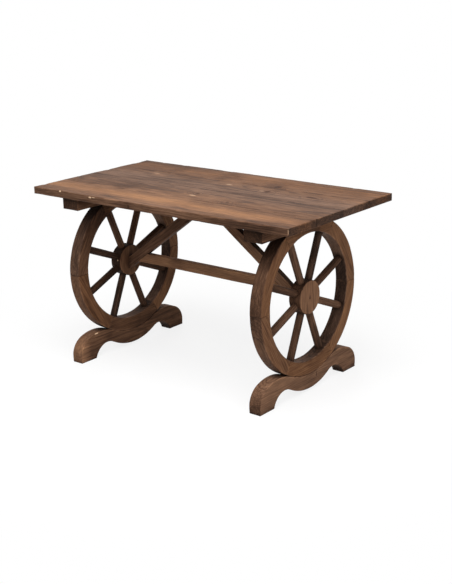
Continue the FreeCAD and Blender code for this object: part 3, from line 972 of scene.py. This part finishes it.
# Wheels: edges of a felloe, how much thinner a spoke gets, and the rounding, rings and wall of a hub
FELLOE_EDGE = (0.0018, 0.0022, 0.0014)
FELLOE_JOINT_RADIUS = 0.0005
SPOKE_LEAST = 0.965
HUB_ROUNDING = 0.0035
HUB_RINGS = (0.86, 0.60, 0.34)
HUB_WALL_REACH = 0.6
HUB_WALL_SHARE = 0.97

# Plugs: the gap around one, which it is also set in by, its hole's depth, its dome and a place in its log
PLUG_GAP = 0.0003
PLUG_HOLE_DEPTH = 0.002
PLUG_DOME = ((0.0, 0.6), (-0.0002, 0.92), (-0.0007, 1.0))
PLUG_LOG = (0, 0, 0.3)


def add_felloe(seed, side, number, centre, half_width, rim_radius):
    """One segment of a rim, its grain along its own chord."""
    span = 2 * pi / FELLOE_COUNT
    middle = span * (number - 0.5)
    mean = rim_radius - RIM_DEPTH / 2
    half = np.array([span * mean / 2, RIM_DEPTH / 2, half_width])
    lines = grid(half, FELLOE_GRID)
    points, faces, edge = block(lines, arris_radii, seed, FELLOE_EDGE, FELLOE_JOINT_RADIUS)
    along, out, across = points.T
    angle = middle - along / mean
    reach = mean + out
    points = centre + np.stack([across, reach * np.cos(angle), reach * np.sin(angle)], axis=-1)
    chord = (0, -sin(middle), cos(middle))
    heart = centre + mean * np.array((0, cos(middle), sin(middle)))
    inside = near(out + half[1], SKIN_REACH)
    tread = near(half[1] - out, SKIN_REACH)
    turn = np.degrees(angle) % 360
    tone = FELLOE_TONES_AND_LIGHT[side][number - 1]
    # The tread's tone holds the painted shadow of the top, and the inside's tone holds a band of painted
    # light
    more_tone = follow(INSIDE_TONES_AND_LIGHT, turn) * inside + follow(TREAD_TONES_AND_SHADOW[side], turn) * tread
    more_warm = FELLOE_WARMTH + INSIDE_WARMTH * inside + TREAD_WARMTH * tread
    node = f"{side}_felloe_{number}"
    add_timber(seed, node, (points, faces, edge), (heart, chord, X_AXIS), tone, more_tone, more_warm)


def add_spoke(seed, side, number, centre, hub_radius, rim_radius):
    angle = FIRST_SPOKE_ANGLE + 2 * pi / SPOKE_COUNT * (number - 1)
    along = (0, cos(angle), sin(angle))
    across = (0, -sin(angle), cos(angle))
    start = hub_radius - SOCKET_DEPTH
    end = rim_radius - RIM_DEPTH + SOCKET_DEPTH
    places = np.linspace(start, end, num=22)
    swell = SPOKE_LEAST + (1 - SPOKE_LEAST) * wander(seed, places, step=0.05)
    profile = [(start, 0), *zip(places, SPOKE_RADIUS * swell), (end, 0)]
    points, faces = lathe(profile, out_of_round(seed + 1, segments=32, step=0.7, least=0.975))
    shape = (laid_along(points, centre, along), faces, 0.0)
    tone = SPOKE_TONES[side][number - 1]
    add_timber(seed, f"{side}_spoke_{number}", shape, (centre, along, across), tone)


def add_hub(seed, side, centre, half_width, radius):
    """A turned hub with rounded edges, sawn from an upright board; its outer face has the plug's hole."""
    rim = []
    for turn in np.linspace(0, pi / 2, num=5):
        in_by = HUB_ROUNDING * (1 - sin(turn))
        rim.append((half_width - in_by, radius - HUB_ROUNDING * (1 - cos(turn))))
    rim.extend((half_width, radius * share) for share in HUB_RINGS)
    hole = PLUG_RADIUS + PLUG_GAP
    hole_floor = half_width - PLUG_HOLE_DEPTH
    outer = rim + [(half_width, hole), (hole_floor, hole), (hole_floor, 0)]
    inner = [(-half_width, 0)] + [(-x, r) for x, r in rim[::-1]]
    walls = [(x, radius) for x in np.linspace(-HUB_WALL_REACH, HUB_WALL_REACH, num=4) * half_width]
    points, faces = lathe(inner + walls + outer, out_of_round(seed, segments=80, step=0.6, least=0.99))
    from_axis = np.hypot(points[:, 1], points[:, 2])
    from_edge = np.maximum(np.abs(np.abs(points[:, 0]) - half_width), np.abs(from_axis - radius))
    shape = (laid_along(points, centre, (SIDES[side], 0, 0)), faces, near(from_edge, WORN_BAND))
    wall_tone = np.where(from_axis > radius * HUB_WALL_SHARE, HUB_WALL_TONE, 0.0)
    add_timber(seed, f"{side}_hub", shape, (centre, Z_AXIS, X_AXIS), HUB_TONES[side], wall_tone)


def add_plugs():
    """The flush wooden plugs over the hub screws, one piece for both."""
    dome = [(along, PLUG_RADIUS * share) for along, share in PLUG_DOME]
    profile = [(0.0, 0)] + dome + [(-PLUG_LENGTH, PLUG_RADIUS), (-PLUG_LENGTH, 0)]
    shape, faces = lathe(profile, swell=np.ones(28))
    plugs = []
    for side, outward in SIDES.items():
        origin, half = extent(f"{side}_hub")
        origin[0] += outward * (half[0] - PLUG_GAP)
        plugs.append(laid_along(shape, origin, (outward, 0, 0)))
    points, faces = joined(plugs, [face[::-1] for face in faces])
    grain = sawn(77, points, PLUG_LOG, Y_AXIS, X_AXIS)
    add_piece("hub_plug_pair", points, faces, grain, Y_AXIS, PLUG_LOOK, FRAME_WOOD, "frame_wood", "hub_plugs")


def add_wheels():
    """Both wheels, each with its foot and its batten."""
    for n, side in enumerate(SIDES):
        centre, (half_width, _, hub_radius) = extent(f"{side}_hub")
        rim_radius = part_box(f"{side}_felloe_2")[1].z - centre[2]
        seed = 1000 + 1000 * n
        for number in range(1, FELLOE_COUNT + 1):
            add_felloe(seed + 20 * number, side, number, centre, half_width, rim_radius)
        for number in range(1, SPOKE_COUNT + 1):
            add_spoke(seed + 300 + 20 * number, side, number, centre, hub_radius, rim_radius)
        add_hub(seed + 600, side, centre, half_width, hub_radius)
        add_foot(seed + 700, side, centre[0], rim_radius)
        add_cross_batten(seed + 800, f"{side}_batten", "batten_screws", BATTEN_SCREWS, BATTEN_INWARD)
    add_plugs()


# Rails: the shares of depth and length that the painted shadow on the upper face and the darker lower end
# take, and the share of a brace's end in its mitre
TOP_SHADOW_SHARE = 0.04
SHADE_SHARE = 0.45
SHADE_TOP = 0.65
MITRE_SHARE = 0.4


def along_path(stops, share):
    """Places on a straight-sided path through (share, x, z) stops."""
    shares, x, z = zip(*stops)
    return np.array((np.interp(share, shares, x), np.interp(share, shares, z)))


def add_rail(seed, node, start, end, tone, top_shadow=0.0, shade_end=0.0):
    """A rail in the table's middle plane, from a start edge to an end edge, both paths of (share, x, z).
    soot is the painted shadow of the top on its upper face, and shade_end darkens the lower side towards its
    end."""
    first = along_path(start, 0.5)
    run_x, run_z = along_path(end, 0.5) - first
    half = np.array([hypot(run_x, run_z) / 2, RAIL_DEPTH / 2, extent(node)[1][1]])
    points, faces, edge = block(grid(half, RAIL_GRID), board_radii, seed, FRAME_EDGES, RAIL_END_EDGES)
    share_along, share_up, _ = (points / (2 * half) + 0.5).T
    x, z = along_path(start, share_up) * (1 - share_along) + along_path(end, share_up) * share_along
    if run_x < 0:
        faces = [face[::-1] for face in faces]
    shape = (np.stack([x, -points[:, 2], z], axis=-1), faces, edge)
    low_down = np.clip(SHADE_TOP - share_up, 0, 1)
    # Painted shadow of the top on the upper face, and the lower side darker towards the end
    dark = top_shadow * near(1 - share_up, TOP_SHADOW_SHARE) + shade_end * near(1 - share_along, SHADE_SHARE) * low_down
    add_timber(seed, node, shape, ((first[0], 0, first[1]), (run_x, 0, run_z), Y_AXIS), tone, -dark)


def add_rails():
    """The two braces from the hubs to the middle of the top, and the stretcher between them."""
    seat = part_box("centre_batten")[0].z
    apex = seat - BRACE_NOSE
    for n, (side, sign) in enumerate(SIDES.items()):
        low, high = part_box(f"{side}_brace")
        hub_face = high.x if sign > 0 else low.x
        slope = (apex - low.z) / abs(hub_face)
        upright = RAIL_DEPTH * hypot(1, slope)
        middle = sign * MITRE_GAP / 2
        seat_x = sign * (apex + upright - seat) / slope
        start = ((0.0, hub_face, low.z), (1.0, hub_face, low.z + upright))
        end = ((0.0, middle, apex), (MITRE_SHARE, middle, seat), (1.0, seat_x, seat))
        add_rail(3000 + 100 * n, f"{side}_brace", start, end, BRACE_TONES[side], top_shadow=BRACE_TOP_SHADOW)
    low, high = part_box("stretcher")
    high_reach = high.x - (high.z - low.z) / slope
    start, end = (((0.0, sign * high.x, low.z), (1.0, sign * high_reach, high.z)) for sign in (-1, 1))
    add_rail(3300, "stretcher", start, end, STRETCHER_TONE, shade_end=STRETCHER_SHADE)


# Screws: the steps round one, and the cross recess in its head
SCREW_SEGMENTS = 24
CROSS_REACH = 0.0026
CROSS_HALF = 0.0008
CROSS_DEPTH = 0.0018
CROSS_TAPER = 0.6


def screw_shape(length):
    """A countersunk screw along the first axis, with a cross recess in its flat head at 0."""
    neck = SCREW_HEAD - SCREW_SHANK
    profile = [(0.0, SCREW_HEAD), (neck, SCREW_SHANK), (length - SCREW_TIP, SCREW_SHANK), (length, 0)]
    points, faces = lathe(profile, swell=np.ones(SCREW_SEGMENTS))
    outline = []
    for c, s in ((1, 0), (0, 1), (-1, 0), (0, -1)):
        for y, z in ((CROSS_REACH, CROSS_HALF), (CROSS_HALF, CROSS_HALF), (CROSS_HALF, CROSS_REACH)):
            outline.append((c * y - s * z, s * y + c * z))
    rim = [len(points) + n for n in range(len(outline))]
    floor = [n + len(outline) for n in rim]
    mouth = [(0.0, y, z) for y, z in outline]
    bottom = [(CROSS_DEPTH, CROSS_TAPER * y, CROSS_TAPER * z) for y, z in outline]
    quarter = SCREW_SEGMENTS // 4
    for turn in range(4):
        first = quarter * turn
        arc = [(first + n) % SCREW_SEGMENTS for n in range(quarter, -1, -1)]
        start = 3 * turn
        faces.append(rim[start:start + 3] + arc)
        faces.append([rim[start - 1], rim[start], first])
    faces.extend(band(floor, rim))
    faces.append(floor[::-1])
    return np.concatenate([points, mouth, bottom]), faces


def add_screws(seed, node, lines, distances):
    """A node's screws, driven upwards on these lines across the table, on both sides of its middle."""
    low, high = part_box(node)
    shape, faces = screw_shape(high.z - low.z)
    along, across, deep = shape.T
    draw = np.random.default_rng(seed)
    screws = []
    for x, y in [(x, way * y) for x in lines for y in distances for way in (-1, 1)]:
        turn = draw.uniform(0, pi / 2)
        c = cos(turn)
        s = sin(turn)
        turned = np.stack([along, across * c - deep * s, across * s + deep * c], axis=-1)
        screws.append(laid_along(turned, (x, y, low.z), Z_AXIS))
    points, faces = joined(screws, faces)
    add_piece(f"{node}_steel", points, faces, points, Z_AXIS, SCREW_LOOK, STEEL, "screw_steel", node)


def dress(node, material):
    """Gives its material to a node that no visible piece stands for."""
    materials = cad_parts[node].data.materials
    materials.clear()
    materials.append(material)


add_planks()
add_wheels()
add_cross_batten(2900, "centre_batten", "centre_batten_screws", CENTRE_BATTEN_SCREWS)
add_rails()
wheel_lines = [extent(f"{side}_hub")[0][0] for side in SIDES]
add_screws(3400, "batten_screws", wheel_lines, BATTEN_SCREWS)
add_screws(3500, "centre_batten_screws", (0.0,), CENTRE_BATTEN_SCREWS)
add_screws(3600, "foot_screws", wheel_lines, (FOOT_SCREW,))
for hidden in ("rim_screws", "hub_screws", "brace_screws", "stretcher_screws"):
    dress(hidden, STEEL)
dress("felloe_dowels", DOWEL_WOOD)


# Stage, light and camera

def looking(tree):
    """1 for rays that show the background: from the camera, off shiny surfaces or through clear ones."""
    path = put(tree, "LightPath").outputs
    by_surface = calc(tree, "MAXIMUM", path["Is Glossy Ray"], path["Is Transmission Ray"])
    return calc(tree, "MAXIMUM", path["Is Camera Ray"], by_surface)


def floor_paper():
    """White paper that shows a soft shadow near the table, and is clear from below."""
    material = bpy.data.materials.new("floor_paper")
    tree = blank_tree(material)
    seen = looking(tree)
    paper = put(tree, "BsdfDiffuse", {"Color": mix(tree, seen, FLOOR_BOUNCE, FLOOR_SEEN)}).outputs["BSDF"]
    away = vector_calc(tree, "LENGTH", position(tree), output="Value")
    shadow = calc(tree, "MULTIPLY", remap(tree, away, *SHADOW_FADE, 1.0, 0.0), FLOOR_SHADOW)
    white = put(tree, "Emission", {"Color": WHITE, "Strength": 1.0}).outputs["Emission"]
    lit = put(tree, "MixShader", {0: shadow, 1: white, 2: paper}).outputs["Shader"]
    surface = put(tree, "MixShader", {0: seen, 1: paper, 2: lit}).outputs["Shader"]
    clear = put(tree, "BsdfTransparent").outputs["BSDF"]
    below = put(tree, "NewGeometry").outputs["Backfacing"]
    touching = calc(tree, "LESS_THAN", put(tree, "LightPath").outputs["Ray Length"], FLOOR_TOUCH)
    whole = put(tree, "MixShader", {0: calc(tree, "MAXIMUM", below, touching), 1: surface, 2: clear})
    put(tree, "OutputMaterial", {"Surface": whole.outputs["Shader"]})
    return material


def add_floor():
    mesh = bpy.data.meshes.new("floor")
    corners = [(-FLOOR_REACH, -FLOOR_REACH), (FLOOR_REACH, -FLOOR_REACH)]
    corners += [(-x, -y) for x, y in corners]
    mesh.from_pydata([(x, y, FLOOR_LEVEL) for x, y in corners], [], [(0, 1, 2, 3)])
    mesh.materials.append(floor_paper())
    placed("floor", mesh)


def add_world():
    world = bpy.data.worlds.new("studio")
    bpy.context.scene.world = world
    tree = blank_tree(world)
    strength = remap(tree, looking(tree), 0.0, 1.0, WORLD_STRENGTH, 1.0, kind="LINEAR")
    sky = put(tree, "Background", {"Color": WHITE, "Strength": strength})
    put(tree, "OutputWorld", {"Surface": sky.outputs["Background"]})


def add_softbox(name, place, aim, size, power, glossy):
    lamp = bpy.data.lights.new(name, "AREA")
    lamp.energy = power
    lamp.size = size
    light = placed(name, lamp)
    light.location = place
    light.rotation_euler = (Vector(aim) - Vector(place)).to_track_quat("-Z", "Y").to_euler()
    light.visible_glossy = glossy


def add_camera():
    """The photograph's own view, found from the table's corners in it."""
    lens = bpy.data.cameras.new("photo_camera")
    lens.sensor_width = SENSOR
    lens.lens = FOCAL_PIXELS * SENSOR / PHOTO_HEIGHT
    camera = placed("photo_camera", lens)
    aim = Euler((pi / 2 - CAMERA_ELEVATION, 0, CAMERA_AZIMUTH)).to_matrix().to_4x4()
    aim = Matrix.Translation(CAMERA_TARGET) @ aim @ Matrix.Rotation(CAMERA_ROLL, 4, "Z")
    camera.matrix_world = aim @ Matrix.Translation((0, 0, CAMERA_DISTANCE))
    bpy.context.scene.camera = camera


add_floor()
add_world()
for name, settings in SOFTBOXES.items():
    add_softbox(name, *settings)
add_camera()
bpy.context.scene.view_settings.view_transform = "Standard"
